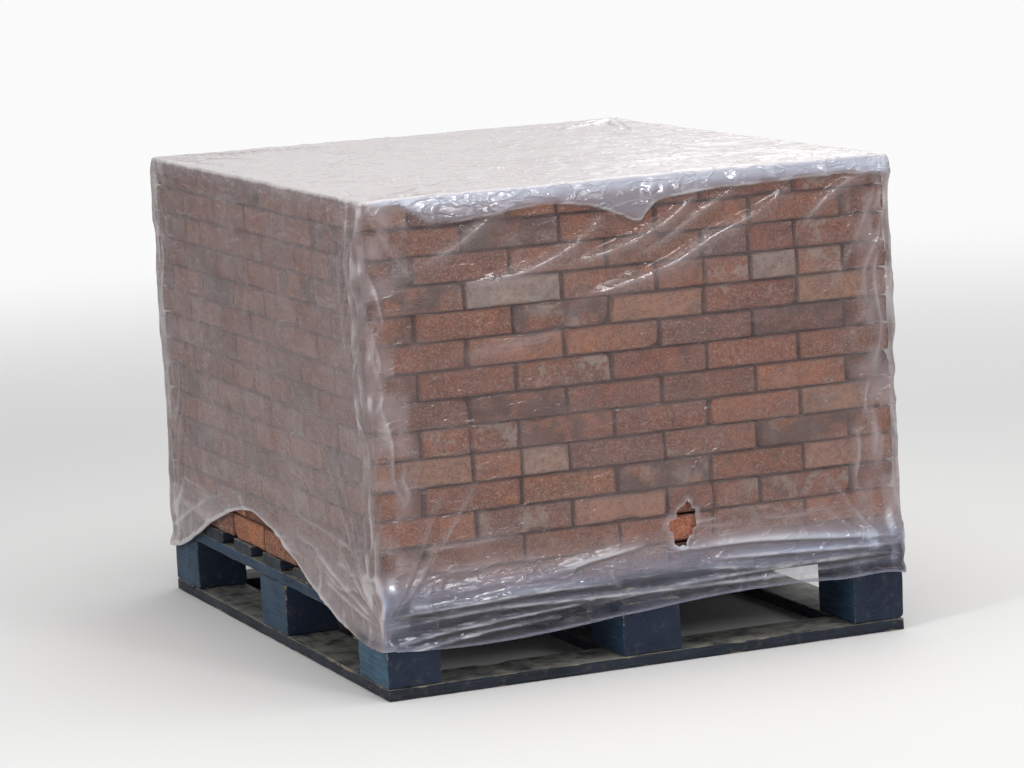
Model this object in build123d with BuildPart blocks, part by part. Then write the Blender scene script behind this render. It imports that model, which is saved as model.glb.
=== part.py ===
from build123d import *
from math import radians, sin
from random import Random
import os

# A pallet of reclaimed bricks under a shrink hood, in millimetres.
# +Z is up, +Y runs along the pallet's long side, and the origin is on the floor under the pallet's centre.
# The front is the short side at -Y, and the left is the long side at -X.

# Brick: a small old format, moulded by hand and fired
brick_length = 180.0
brick_width = 86.0
brick_height = 50.0
brick_arris = 2.5  # the worn edge round each face that shows
joint_gap = 1.0  # the least gap between two bricks of a ring
outward_play = 2.5  # how far the hand that laid a brick may have left it out of line
yaw_play = 0.25  # degrees that a brick may lie out of square

# Stack
course_count = 14
side_margin = 3.25  # from the pallet's left and right edges to the stack
end_margin = 12.5  # from the pallet's front and back edges to the stack
core_clearance = 1.0  # between the outer ring and the hidden bricks behind it
half_bat_share = 0.14  # share of the places that hold two half bats in place of a whole brick
stack_seed = 7

# Places on the front that hold two half bats, as (course from the deck, place from the left)
front_half_bats = {(3, 3), (5, 1), (6, 0), (11, 3), (11, 4), (12, 3), (14, 1)}

# Pallet
pallet_width = 1000.0
pallet_length = 1200.0
base_thickness = 22.0
block_height = 96.0
stringer_thickness = 22.0
deck_thickness = 22.0
outer_block_width = 100.0
middle_block_width = 112.0
block_length = 145.0
end_base_board_width = 100.0
lead_deck_board_width = 145.0
inner_deck_board_width = 100.0
inner_deck_boards = 5
timber_arris = 2.0
wheel_ramp_run = 30.0  # the ramp for a truck's wheels on the base boards that cross its way
wheel_ramp_drop = 8.0
wheel_ramp_margin = 12.0  # from a block to the start of the ramp

# Shrink hood
film_wall = 1.2
film_clearance = 0.5  # between the film and what it covers
film_fold_radius = 1.6  # inside the film, where it is drawn tight over the load's edges
flare_top = 46.0  # above the deck, where the film leaves the bricks
flare_bottom = 2.0  # above the deck, where it reaches the width of the pallet
hem_corner_height = 92.0
hem_cut_depth = 20.0  # how far in from the film's outside its hem is trimmed

# Hem of each side, as (place from -1 at its right end, seen from outside, to 1 at its left end, height)
front_hem = [(-0.8, 108.0), (0.1, 100.0), (0.8, 84.0)]
left_hem = [(-0.68, 104.0), (-0.35, 164.0), (0.05, 236.0), (0.62, 156.0), (0.83, 108.0)]
back_hem = [(-0.72, 104.0), (-0.34, 190.0), (0.06, 232.0), (0.42, 182.0), (0.74, 112.0)]
right_hem = [(-0.75, 104.0), (-0.43, 180.0), (-0.02, 248.0), (0.42, 176.0), (0.77, 104.0)]

# Worked out from the sizes above
deck_underside = base_thickness + block_height + stringer_thickness
deck_top = deck_underside + deck_thickness
stack_top = deck_top + course_count * brick_height
pallet_half_x = pallet_width / 2
pallet_half_y = pallet_length / 2
stack_half_x = pallet_half_x - side_margin
stack_half_y = pallet_half_y - end_margin
laying_reach = outward_play + brick_length / 2 * sin(radians(yaw_play))

os.makedirs("parts", exist_ok=True)


def save(part, name):
    """Labels a finished piece and writes it as its own file."""
    part.label = name
    export_step(part, f"parts/{name}.step")


# Pallet


def timber(width, length, thickness, place, name):
    """A sawn board or block with eased arrises along its length. Its underside is centred on place."""
    with BuildPart() as board:
        with BuildSketch(Plane.XY.offset(place[2])):
            with Locations((place[0], place[1])):
                Rectangle(width, length)
        extrude(amount=thickness)
        along = Axis.Y if length >= width else Axis.X
        chamfer(board.edges().filter_by(along), timber_arris)
    save(board.part, name)


def end_base_board(centre_y, name):
    """The base board across the short side, with a stopped ramp on both edges between the blocks."""
    ramp_start = middle_block_width / 2 + wheel_ramp_margin
    ramp_end = pallet_half_x - outer_block_width - wheel_ramp_margin
    with BuildPart() as board:
        with BuildSketch():
            with Locations((0, centre_y)):
                Rectangle(pallet_width, end_base_board_width)
        extrude(amount=base_thickness)
        chamfer(board.edges().filter_by(Axis.X).group_by(Axis.Z)[0], timber_arris)
        for x_side in (-1, 1):
            for y_side in (-1, 1):
                edge_y = centre_y + y_side * end_base_board_width / 2
                with BuildSketch(Plane.YZ.offset(x_side * (ramp_start + ramp_end) / 2)):
                    with BuildLine():
                        Polyline(
                            (edge_y, base_thickness),
                            (edge_y - y_side * wheel_ramp_run, base_thickness),
                            (edge_y, base_thickness - wheel_ramp_drop),
                            close=True,
                        )
                    make_face()
                extrude(amount=(ramp_end - ramp_start) / 2, both=True, mode=Mode.SUBTRACT)
    save(board.part, name)


columns = {
    "left": ((outer_block_width - pallet_width) / 2, outer_block_width),
    "middle": (0.0, middle_block_width),
    "right": ((pallet_width - outer_block_width) / 2, outer_block_width),
}
rows = {
    "front": (block_length - pallet_length) / 2,
    "centre": 0.0,
    "back": (pallet_length - block_length) / 2,
}

end_base_board((end_base_board_width - pallet_length) / 2, "base_board_front")
end_base_board((pallet_length - end_base_board_width) / 2, "base_board_back")
for column, (column_x, column_width) in columns.items():
    between_ends = pallet_length - 2 * end_base_board_width
    timber(column_width, between_ends, base_thickness, (column_x, 0, 0), f"base_board_{column}")
    for row, row_y in rows.items():
        block_place = (column_x, row_y, base_thickness)
        timber(column_width, block_length, block_height, block_place, f"block_{row}_{column}")
    stringer_place = (column_x, 0, base_thickness + block_height)
    timber(column_width, pallet_length, stringer_thickness, stringer_place, f"stringer_{column}")

deck_gap = (
    pallet_length - 2 * lead_deck_board_width - inner_deck_boards * inner_deck_board_width
) / (inner_deck_boards + 1)
deck_board_widths = [inner_deck_board_width] * inner_deck_boards
deck_board_widths = [lead_deck_board_width, *deck_board_widths, lead_deck_board_width]
board_edge = -pallet_half_y
for number, board_width in enumerate(deck_board_widths, 1):
    board_place = (0, board_edge + board_width / 2, deck_underside)
    timber(pallet_width, board_width, deck_thickness, board_place, f"deck_board_{number}")
    board_edge += board_width + deck_gap


# Bricks
# A brick lies along X with its middle at the origin, and the face at -Y is the one that a ring shows.


def shaped_brick(length, left_end=False, right_end=False, top=False):
    """A brick or half bat whose showing faces have worn arrises: the face at -Y, and those that are named."""
    with BuildPart() as one:
        with BuildSketch():
            with Locations((0, brick_width / 2)):
                Rectangle(length, brick_width)
        extrude(amount=brick_height)
        shown = [one.faces().sort_by(Axis.Y)[0]]
        if left_end:
            shown.append(one.faces().sort_by(Axis.X)[0])
        if right_end:
            shown.append(one.faces().sort_by(Axis.X)[-1])
        if top:
            shown.append(one.faces().sort_by(Axis.Z)[-1])
        chamfer({edge for face in shown for edge in face.edges()}, brick_arris)
    return one.part


half_length = (brick_length - joint_gap) / 2
half_pitch = half_length + joint_gap


def brick_kinds(top):
    """The shapes that a course is laid from."""
    return {
        "whole": shaped_brick(brick_length, top=top),
        "half": shaped_brick(half_length, top=top),
        "left corner": shaped_brick(brick_length, left_end=True, top=top),
        "right corner": shaped_brick(brick_length, right_end=True, top=top),
    }


def ring(half_x, half_y, hand):
    """The places of one pinwheel ring, as (side, from_left, at_corner, turn, along, depth) in the side's own
    frame, which is turned by turn degrees and has the side's outward way at -Y. The first brick of a side is
    at its corner, at the right for a hand of 1 and at the left for -1, and the rest are spread evenly."""
    for side, turn in enumerate((0, 90, 180, 270)):
        run_half, depth = (half_x, half_y) if side % 2 == 0 else (half_y, half_x)
        run = 2 * run_half - brick_width
        count = int(run / (brick_length + joint_gap))
        for number in range(count):
            from_left = count - 1 - number if hand > 0 else number
            along = hand * (run_half - brick_length / 2 - number * run / count)
            yield side, from_left, number == 0, turn, along, depth


def course_places(level, hand, chance):
    """Where each brick of a course stands, as a list of places for each kind of brick."""
    places = {"whole": [], "half": [], "left corner": [], "right corner": []}
    height = deck_top + (level - 1) * brick_height

    def stand(kind, turn, along, depth):
        out = chance.uniform(0, outward_play)
        yaw = chance.uniform(-yaw_play, yaw_play)
        on_side = Location((along, -depth - out, height), (0, 0, yaw))
        places[kind].append(Location((0, 0, 0), (0, 0, turn)) * on_side)

    for side, from_left, at_corner, turn, along, depth in ring(stack_half_x, stack_half_y, hand):
        halved = (level, from_left) in front_half_bats if side == 0 else chance.random() < half_bat_share
        if at_corner:
            stand("right corner" if hand > 0 else "left corner", turn, along, depth)
        elif halved:
            stand("half", turn, along - half_pitch / 2, depth)
            stand("half", turn, along + half_pitch / 2, depth)
        else:
            stand("whole", turn, along, depth)
    return places


def fill_places(places, hand):
    """Adds the bricks inside the outer ring of the top course, in rings inside each other."""
    height = stack_top - brick_height
    ring_step = brick_width + joint_gap
    half_x = stack_half_x - ring_step
    half_y = stack_half_y - ring_step
    while 2 * min(half_x, half_y) > brick_width + brick_length + joint_gap:
        for _, _, _, turn, along, depth in ring(half_x, half_y, hand):
            places["whole"].append(Location((0, 0, 0), (0, 0, turn)) * Location((along, -depth, height)))
        half_x -= ring_step
        half_y -= ring_step
    columns_left = int((2 * half_x + joint_gap) / ring_step)
    rows_left = int((2 * half_y + joint_gap) / half_pitch)
    for column in range(columns_left):
        for row in range(rows_left):
            face_x = (column - columns_left / 2) * ring_step + ring_step / 2 + brick_width / 2
            centre_y = (row - (rows_left - 1) / 2) * half_pitch
            places["half"].append(Location((face_x, centre_y, height), (0, 0, 90)))


plain_kinds = brick_kinds(top=False)
top_kinds = brick_kinds(top=True)
for level in range(1, course_count + 1):
    hand = 1 if level % 2 == 0 else -1
    is_top = level == course_count
    laid = course_places(level, hand, Random(stack_seed + level))
    if is_top:
        fill_places(laid, hand)
    kinds = top_kinds if is_top else plain_kinds
    with BuildPart() as course:
        for kind, kind_places in laid.items():
            if kind_places:
                with Locations(*kind_places):
                    add(kinds[kind])
    save(course.part, f"course_{level:02d}")

with BuildPart() as core:
    core_inset = brick_width + core_clearance
    with BuildSketch(Plane.XY.offset(deck_top)):
        Rectangle(2 * (stack_half_x - core_inset), 2 * (stack_half_y - core_inset))
    extrude(amount=(course_count - 1) * brick_height)
save(core.part, "brick_core")


# Shrink hood

lowest_hem = min(height for _, height in front_hem + left_hem + back_hem + right_hem) - film_wall


def hood_block(grow):
    """The solid inside the film: to its outer face for a grow of the film's wall, and to its inner for 0."""
    load_x = stack_half_x + laying_reach + film_clearance + grow
    load_y = stack_half_y + laying_reach + film_clearance + grow
    skirt_x = max(load_x, pallet_half_x + film_clearance + grow)
    skirt_y = max(load_y, pallet_half_y + film_clearance + grow)
    sections = (
        (lowest_hem, skirt_x, skirt_y),
        (deck_top + flare_bottom, skirt_x, skirt_y),
        (deck_top + flare_top, load_x, load_y),
        (stack_top + film_clearance + grow, load_x, load_y),
    )
    with BuildPart() as block:
        for height, half_x, half_y in sections:
            with BuildSketch(Plane.XY.offset(height)):
                RectangleRounded(2 * half_x, 2 * half_y, film_fold_radius + grow)
        loft(ruled=True)
        fillet(block.faces().sort_by(Axis.Z)[-1].edges(), film_fold_radius + grow)
    return block.part


hood_outside = hood_block(film_wall)
hood_inside = hood_block(0)
hood_half_x = hood_outside.bounding_box().max.X
hood_half_y = hood_outside.bounding_box().max.Y

# Each side as a plane on the film's outer face, with X to the left and Z inwards, and its half length and hem
hood_sides = [
    (Plane((0, -hood_half_y, 0), x_dir=(-1, 0, 0), z_dir=(0, 1, 0)), hood_half_x, front_hem),
    (Plane((-hood_half_x, 0, 0), x_dir=(0, 1, 0), z_dir=(1, 0, 0)), hood_half_y, left_hem),
    (Plane((0, hood_half_y, 0), x_dir=(1, 0, 0), z_dir=(0, -1, 0)), hood_half_x, back_hem),
    (Plane((hood_half_x, 0, 0), x_dir=(0, -1, 0), z_dir=(-1, 0, 0)), hood_half_y, right_hem),
]

with BuildPart() as hood:
    add(hood_outside)
    add(hood_inside, mode=Mode.SUBTRACT)
    for outside, half_run, hem in hood_sides:
        left_end = (half_run, hem_corner_height)
        right_end = (-half_run, hem_corner_height)
        hem_points = [(place * half_run, height) for place, height in hem]
        with BuildSketch(outside):
            with BuildLine():
                Spline(right_end, *hem_points, left_end)
                Polyline(left_end, (half_run, 0), (-half_run, 0), right_end)
            make_face()
        extrude(amount=hem_cut_depth, mode=Mode.SUBTRACT)
save(hood.part, "shrink_hood")
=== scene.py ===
import math
from itertools import product
from random import Random

import bmesh
import bpy
import numpy as np
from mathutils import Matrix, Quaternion, Vector
from mathutils.bvhtree import BVHTree


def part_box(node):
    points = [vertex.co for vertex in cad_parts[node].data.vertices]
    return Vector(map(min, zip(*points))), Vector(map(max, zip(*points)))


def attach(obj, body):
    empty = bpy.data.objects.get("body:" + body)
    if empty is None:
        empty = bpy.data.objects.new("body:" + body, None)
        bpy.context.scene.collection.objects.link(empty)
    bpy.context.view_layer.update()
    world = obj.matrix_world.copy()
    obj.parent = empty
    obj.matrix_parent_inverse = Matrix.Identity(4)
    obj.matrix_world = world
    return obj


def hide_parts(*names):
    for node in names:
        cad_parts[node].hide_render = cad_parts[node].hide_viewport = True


# A pallet of reclaimed bricks under a shrink hood, in metres: the finish of every brick, board and fold.
# +Z is up, the front is the short side at -Y, and the left is the long side at -X.

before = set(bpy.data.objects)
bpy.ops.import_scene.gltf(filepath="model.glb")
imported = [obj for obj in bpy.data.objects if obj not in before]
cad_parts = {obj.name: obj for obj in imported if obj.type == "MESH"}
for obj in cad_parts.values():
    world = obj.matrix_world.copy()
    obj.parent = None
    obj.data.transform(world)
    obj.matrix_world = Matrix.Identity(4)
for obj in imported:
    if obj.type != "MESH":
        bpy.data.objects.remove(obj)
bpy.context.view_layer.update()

MM = 0.001
COURSES = sorted(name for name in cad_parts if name.startswith("course_"))
DECK_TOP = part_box(COURSES[0])[0].z
PALLET_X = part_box("deck_board_1")[1].x
PALLET_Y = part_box("stringer_middle")[1].y

# Noise that is the same in every run

# Large odd numbers that spread the lattice's values
HASH = np.array([374761393, 668265263, 2246822519, 3266489917], np.uint32)


def lattice(cell, seed):
    """A fixed random value from 0 to 1 for each point of a whole-number lattice."""
    x, y, z = (cell.astype(np.uint32) * HASH[:3]).T
    h = x + y + z + np.uint32(seed * int(HASH[3]) & 0xFFFFFFFF)
    for shift, factor in ((15, HASH[2]), (13, HASH[3])):
        h = (h ^ (h >> np.uint32(shift))) * factor
    return (h ^ (h >> np.uint32(16))) / 4294967295.0


def smooth_noise(points, seed):
    """Smooth noise from -1 to 1 with features one unit across."""
    cell = np.floor(points).astype(np.int64)
    part = points - cell
    ease = part * part * part * (part * (part * 6 - 15) + 10)
    shares = ((1 - ease).T, ease.T)
    total = np.zeros(len(points))
    for x, y, z in product((0, 1), repeat=3):
        total += lattice(cell + [x, y, z], seed) * shares[x][0] * shares[y][1] * shares[z][2]
    return total * 2 - 1


def layered_noise(points, octaves, seed):
    """Layers of smooth noise, each half as large and half as strong as the one before."""
    total = np.zeros(len(points))
    for octave in range(octaves):
        total += smooth_noise(points * 2**octave, seed + octave) / 2**octave
    return total / (2 - 2 ** (1 - octaves))


def ease_between(low, high, values):
    """0 below low and 1 above high, with an eased slope between."""
    t = np.clip((values - low) / (high - low), 0, 1)
    return t * t * (3 - 2 * t)


# Meshes and materials


def new_piece(name, points, faces, material):
    """A mesh from arrays of points and of faces with four or three corners."""
    mesh = bpy.data.meshes.new(name)
    flat = np.concatenate([group.ravel() for group in faces]).astype(np.int32)
    sizes = np.concatenate([np.full(len(group), group.shape[1], np.int32) for group in faces])
    starts = np.concatenate([[0], np.cumsum(sizes)[:-1]]).astype(np.int32)
    mesh.vertices.add(len(points))
    mesh.vertices.foreach_set("co", np.asarray(points, np.float32).ravel())
    mesh.loops.add(len(flat))
    mesh.loops.foreach_set("vertex_index", flat)
    mesh.polygons.add(len(sizes))
    mesh.polygons.foreach_set("loop_start", starts)
    mesh.polygons.foreach_set("use_smooth", np.ones(len(sizes), bool))
    mesh.update(calc_edges=True)
    mesh.validate()
    mesh.materials.append(material)
    piece = bpy.data.objects.new(name, mesh)
    bpy.context.scene.collection.objects.link(piece)
    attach(piece, "root")
    return piece


def add_layer(piece, name, values):
    """A number or a vector for each point, which the materials read."""
    values = np.asarray(values, np.float32)
    kind, field = ("FLOAT", "value") if values.ndim == 1 else ("FLOAT_VECTOR", "vector")
    piece.data.attributes.new(name, kind, "POINT").data.foreach_set(field, values.ravel())


def drop_loose_points(mesh):
    form = bmesh.new()
    form.from_mesh(mesh)
    bmesh.ops.delete(form, geom=[v for v in form.verts if not v.link_faces], context="VERTS")
    form.to_mesh(mesh)
    form.free()


class Value:
    """What a node gives. The signs + - * and abs() put a Math node behind it."""

    def __init__(self, nodes, socket):
        self.nodes, self.socket = nodes, socket

    def __add__(self, other):
        return self.nodes.math("ADD", self, other)

    def __sub__(self, other):
        return self.nodes.math("SUBTRACT", self, other)

    def __rsub__(self, other):
        return self.nodes.math("SUBTRACT", other, self)

    def __mul__(self, other):
        return self.nodes.math("MULTIPLY", self, other)

    def __abs__(self):
        return self.nodes.math("ABSOLUTE", self)


class Nodes:
    """A short way to write the node tree of a material or of the world."""

    def __init__(self, owner, shader="Principled BSDF"):
        owner.use_nodes = True
        self.owner, self.tree = owner, owner.node_tree
        self.shader = self.tree.nodes[shader]

    def set(self, sockets, name, value):
        """Sets or links a socket by its name, with _ for a space, or by its number, as In_6."""
        socket = sockets[int(name[3:]) if name.startswith("In_") else name.replace("_", " ")]
        if isinstance(value, (Value, bpy.types.NodeSocket)):
            self.tree.links.new(getattr(value, "socket", value), socket)
        else:
            socket.default_value = (*value, 1) if socket.type == "RGBA" else value

    def put(self, kind, **values):
        """A new node. Values in small letters are its settings, the others its inputs."""
        node = self.tree.nodes.new(kind)
        for name, value in values.items():
            if name.islower():
                setattr(node, name, value)
            else:
                self.set(node.inputs, name, value)
        return node

    def use(self, kind, output, **values):
        return Value(self, self.put(kind, **values).outputs[output])

    def surface(self, **values):
        for name, value in values.items():
            self.set(self.shader.inputs, name, value)

    def layer(self, name, output="Fac"):
        return self.use("ShaderNodeAttribute", output, attribute_name=name)

    def object_at(self):
        return self.use("ShaderNodeTexCoord", "Object")

    def math(self, operation, first, second=0.5):
        return self.use("ShaderNodeMath", 0, operation=operation, In_0=first, In_1=second)

    def noise(self, at, scale, detail=3.0, rough=0.5, bent=0.0):
        return self.use("ShaderNodeTexNoise", "Fac", Vector=at, Scale=scale, Detail=detail, Roughness=rough,
                        Distortion=bent)

    def cells(self, at, scale):
        return self.use("ShaderNodeTexVoronoi", "Distance", Vector=at, Scale=scale)

    def stretch(self, at, scale):
        return self.use("ShaderNodeMapping", 0, Vector=at, Scale=scale)

    def between(self, value, low, high, to_low=0.0, to_high=1.0):
        return self.use("ShaderNodeMapRange", 0, interpolation_type="SMOOTHSTEP", Value=value, From_Min=low,
                        From_Max=high, To_Min=to_low, To_Max=to_high)

    def mix(self, share, first, second, blend="MIX"):
        return self.use("ShaderNodeMix", 2, data_type="RGBA", blend_type=blend, Factor=share, In_6=first,
                        In_7=second)

    def tinted(self, colour, by):
        return self.mix(1.0, colour, by, "MULTIPLY")

    def bump(self, height, distance, strength):
        bumped = self.use("ShaderNodeBump", 0, Height=height, Distance=distance, Strength=strength)
        self.surface(Normal=bumped)

    def fade_to(self, other, share, end):
        """Mixes the tree's own shader with another one, and puts both on the end node."""
        mixed = self.use("ShaderNodeMixShader", 0, In_0=share, In_1=self.shader.outputs[0], In_2=other)
        self.set(self.tree.nodes[end].inputs, "Surface", mixed)


def new_nodes(name):
    return Nodes(bpy.data.materials.new(name))


# Bricks


def brick_material():
    """Fired clay: colour that differs from brick to brick, lime left from old mortar, soot, dust and pits,
    and rims darkened partly by dirt and partly by painted shade in the joints.
    """
    n = new_nodes("old_brick")
    tint = n.layer("tint", "Color")
    at = n.layer("grain_at", "Vector")
    lime, soot, broken, rim = (n.layer(name) for name in ("lime", "soot", "broken", "rim"))
    blotch = n.noise(at, 14, 3, 0.6)
    speck = n.noise(at, 330, 0, 0.6)
    grit = n.cells(at, 210)
    crumb = n.noise(at, 95, 4, 0.7)
    colour = n.mix(n.between(blotch, 0.3, 0.7), n.tinted(tint, (0.72, 0.70, 0.72)),
                   n.tinted(tint, (1.16, 1.07, 0.98)))
    colour = n.mix(n.between(crumb, 0.36, 0.60), n.tinted(colour, (0.66, 0.64, 0.66)), colour)
    colour = n.mix(n.between(speck, 0.56, 0.68) * 0.5, colour, (0.50, 0.36, 0.28))
    colour = n.mix(n.between(grit, 0.16, 0.06) * 0.5, colour, (0.10, 0.06, 0.05))
    colour = n.mix(broken * 0.75, colour, n.tinted(tint, (1.2, 0.95, 0.8)))
    patches = n.noise(at, 24, 3, 0.62) + n.noise(at, 150, 1) * 0.35
    lime_edge = 1.02 - lime * 0.42
    colour = n.mix(n.between(patches - lime_edge, -0.09, 0.12) * 0.66, colour, (0.47, 0.40, 0.36))
    stain = n.between(n.noise(at, 17, 3, 0.6) + soot * 0.5, 0.62, 0.86)
    colour = n.mix(stain * 0.75, colour, (0.065, 0.050, 0.048))
    uneven = (crumb - 0.5) * 1.1 + (blotch - 0.5) * 1.6
    # Darker towards each brick's rims: partly dirt, partly painted shade where the joints fall into shadow.
    rim_dirt_and_shade = n.between(rim + uneven, 0.4, 1.1)
    colour = n.mix(rim_dirt_and_shade * 0.6, colour, (0.085, 0.044, 0.034))
    n.surface(Base_Color=colour, Roughness=n.between(blotch, 0.2, 0.8, 0.84, 0.96), Specular_IOR_Level=0.25)
    n.bump(crumb + n.between(speck, 0.30, 0.62) * 0.42, 2.4 * MM, 0.9)
    return n.owner


def islands(mesh):
    """The points of each separate solid in a mesh."""
    points = np.zeros(len(mesh.vertices) * 3, np.float32)
    mesh.vertices.foreach_get("co", points)
    points = points.reshape(-1, 3).astype(float)
    mesh.calc_loop_triangles()
    triangles = np.zeros(len(mesh.loop_triangles) * 3, np.int32)
    mesh.loop_triangles.foreach_get("vertices", triangles)
    keys = np.round(points / (0.01 * MM)).astype(np.int64)
    _, first, same = np.unique(keys, axis=0, return_index=True, return_inverse=True)
    triangles = same.reshape(-1)[triangles].reshape(-1, 3)
    points = points[first]
    label = np.arange(len(points))
    while True:
        lowest = label[triangles].min(1)
        before = label.copy()
        for corner in range(3):
            np.minimum.at(label, triangles[:, corner], lowest)
        if np.array_equal(before, label):
            break
    return [points[label == one] for one in np.unique(label)]


def brick_box(points):
    """Where a brick lies: its middle, the ways along its length and outwards over its width, and its size."""
    size = points.max(0) - points.min(0)
    base = 0.0 if size[0] >= size[1] else math.pi / 2
    best = None
    for yaw in np.radians(np.linspace(-0.3, 0.3, 25)) + base:
        along = np.array([math.cos(yaw), math.sin(yaw)])
        across = np.array([-along[1], along[0]])
        run, reach = points[:, :2] @ along, points[:, :2] @ across
        area = np.ptp(run) * np.ptp(reach)
        if best is None or area < best[0]:
            centre = along * (run.max() + run.min()) / 2 + across * (reach.max() + reach.min()) / 2
            best = (area, centre, along, across, np.array([np.ptp(run), np.ptp(reach), size[2]]))
    _, centre, along, across, box = best
    if centre @ across < 0:
        along, across = -along, -across
    middle = np.array([*centre, (points[:, 2].max() + points[:, 2].min()) / 2])
    return middle, np.array([*along, 0.0]), np.array([*across, 0.0]), box


def box_grid(cuts_x, cuts_y, cuts_z, plain_back=False):
    """Points and faces of a box whose three ways are cut at the given places, with shared edges.
    With a plain back, the side at low y is one face."""
    cuts = [np.asarray(c) for c in (cuts_x, cuts_y, cuts_z)]
    counts = [len(c) - 1 for c in cuts]
    index, points, faces, backs = {}, [], [], []

    def point(axis, end, i, j):
        place = [0, 0, 0]
        place[axis], place[(axis + 1) % 3], place[(axis + 2) % 3] = end, i, j
        place = tuple(place)
        if place not in index:
            index[place] = len(points)
            points.append([cuts[way][place[way]] for way in range(3)])
        return index[place]

    for axis in range(3):
        over, up = counts[(axis + 1) % 3], counts[(axis + 2) % 3]
        for end in (0, counts[axis]):
            if plain_back and axis == 1 and end == 0:
                loop = [(i, 0) for i in range(over)] + [(over, j) for j in range(up)]
                loop += [(over - i, up) for i in range(over)] + [(0, up - j) for j in range(up)]
                backs.append([point(axis, end, i, j) for i, j in loop][::-1])
                continue
            for i, j in product(range(over), range(up)):
                corners = [point(axis, end, i + a, j + b) for a, b in ((0, 0), (1, 0), (1, 1), (0, 1))]
                faces.append(corners if end else corners[::-1])
    return np.array(points), np.array(faces, np.int32), np.array(backs, np.int32)


def cuts_between(size, ends, step):
    """Cuts from -size/2 to size/2: close together at the ends, and about step apart between."""
    inner = size / 2 - ends[-1]
    count = max(1, round(2 * inner / step))
    middle = np.linspace(-inner, inner, count + 1)
    low = [-size / 2 + e for e in ends[:-1]]
    return np.array(low + list(middle) + [-c for c in reversed(low)])


def rounded(flat, half, wear):
    """The points of a box's grid on the same box with worn edges, and how far and which way each one lies out
    from an inner box."""
    wear = wear[:, None]
    inner = np.clip(flat, -half + wear, half - wear)
    out = flat - inner
    length = np.maximum(np.linalg.norm(out, axis=1, keepdims=True), 1e-9)
    way = out / length
    return inner + way * np.minimum(wear, length), out, way


# How far from each end of a brick or board its grid is cut
END_CUTS = (0.0, 2.2 * MM, 5 * MM, 9.5 * MM)
BOARD_ENDS = (0.0, 2 * MM, 6 * MM)
# How many chips a brick may have, and how deep they are, in millimetres
CHIPS = (1, 2, 2, 3, 4, 5)
CHIP_DEPTH = (2.5, 8.5)
grids = {}


def brick_grid(size, top):
    """The grid of a brick or half bat, finest on the face that shows. In the top course the bed shows too."""
    key = (round(size[0], 4), round(size[1], 4), top)
    if key not in grids:
        length, width, height = size
        if top:
            cuts = cuts_between(length, END_CUTS[1:], 16 * MM), cuts_between(width, END_CUTS[1:], 17 * MM)
            grids[key] = box_grid(*cuts, cuts_between(height, END_CUTS[1:], 30 * MM))
        else:
            shown = [-width / 2, width / 2 - 30 * MM, *(width / 2 - e for e in reversed(END_CUTS))]
            grids[key] = box_grid(cuts_between(length, END_CUTS, 10.5 * MM), shown,
                                  cuts_between(height, END_CUTS, 10 * MM), plain_back=True)
    return grids[key]


def worn_brick(size, top, chance, seed):
    """A brick's points and faces round its middle, how freshly each point is broken, and how near a rim."""
    flat, faces, backs = brick_grid(size, top)
    flat = flat * (size / 2 / np.abs(flat).max(0))
    offset = seed * np.array([7.31, 3.17, 5.03])
    half = size / 2 - 0.4 * MM
    wear = 2.8 * MM + 2.4 * MM * smooth_noise(flat / (24 * MM) + offset, 11)
    points, _, way = rounded(flat, half, np.clip(wear, 1 * MM, 7 * MM))
    broken = np.zeros(len(points))
    for _ in range(chance.choice(CHIPS)):
        corner = np.array([chance.choice((-1, 1)) for _ in range(3)], float)
        free = chance.randrange(4)
        at = corner * half
        if free < 3:
            at[free] *= chance.uniform(-0.9, 0.9)
            corner[free] *= chance.uniform(0, 0.35)
        normal = corner * np.array([chance.uniform(0.5, 1.0) for _ in range(3)])
        normal /= np.linalg.norm(normal)
        depth = chance.uniform(*CHIP_DEPTH) * MM * (1.5 if free == 3 else 1.0)
        reach = depth * chance.uniform(2.5, 6.0)
        near = np.clip(1 - np.linalg.norm(points - at, axis=1) / reach, 0, 1)
        over = np.maximum((points - at) @ normal + depth * np.sqrt(near), 0) * (near > 0)
        points -= over[:, None] * normal
        broken = np.maximum(broken, np.clip(over / (1.5 * MM), 0, 1))
    rough = layered_noise(points / (26 * MM) + offset, 3, 29)
    fine = smooth_noise(points / (8 * MM) + offset, 37)
    inward = -(0.75 * MM * (rough + 1) + 0.3 * MM * (fine + 1) * (1 + 2 * broken))
    points += way * inward[:, None]
    to_rim = np.sort(half - np.abs(flat), axis=1)[:, 1]
    return points, faces, backs, broken, ease_between(9 * MM, 0, to_rim)


# Colours of fired clay, from the orange of the bare bricks to purple and buff
CLAY = (
    ((0.44, 0.165, 0.085), 6),
    ((0.40, 0.148, 0.078), 6),
    ((0.47, 0.195, 0.105), 4),
    ((0.35, 0.125, 0.074), 4),
    ((0.41, 0.185, 0.120), 4),
    ((0.29, 0.130, 0.100), 2),
    ((0.46, 0.260, 0.175), 1),
)
# Bricks of the front that stand out, as (course from the deck, share of the way from the left): colour
STANDING_OUT = {
    (11, 0.23): (0.50, 0.41, 0.38),
    (11, 0.76): (0.46, 0.34, 0.30),
    (10, 0.55): (0.50, 0.26, 0.17),
    (5, 0.10): (0.50, 0.27, 0.18),
    (5, 0.34): (0.50, 0.34, 0.27),
    (4, 0.92): (0.48, 0.25, 0.17),
    (3, 0.46): (0.50, 0.27, 0.19),
    (12, 0.67): (0.24, 0.135, 0.13),
    (2, 0.58): (0.43, 0.17, 0.105),
}
# How much shorter, narrower and lower than the frame's solid a brick may be, as shares
SHORT_OF_SIZE = (0.022, 0.012, 0.045)
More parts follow.
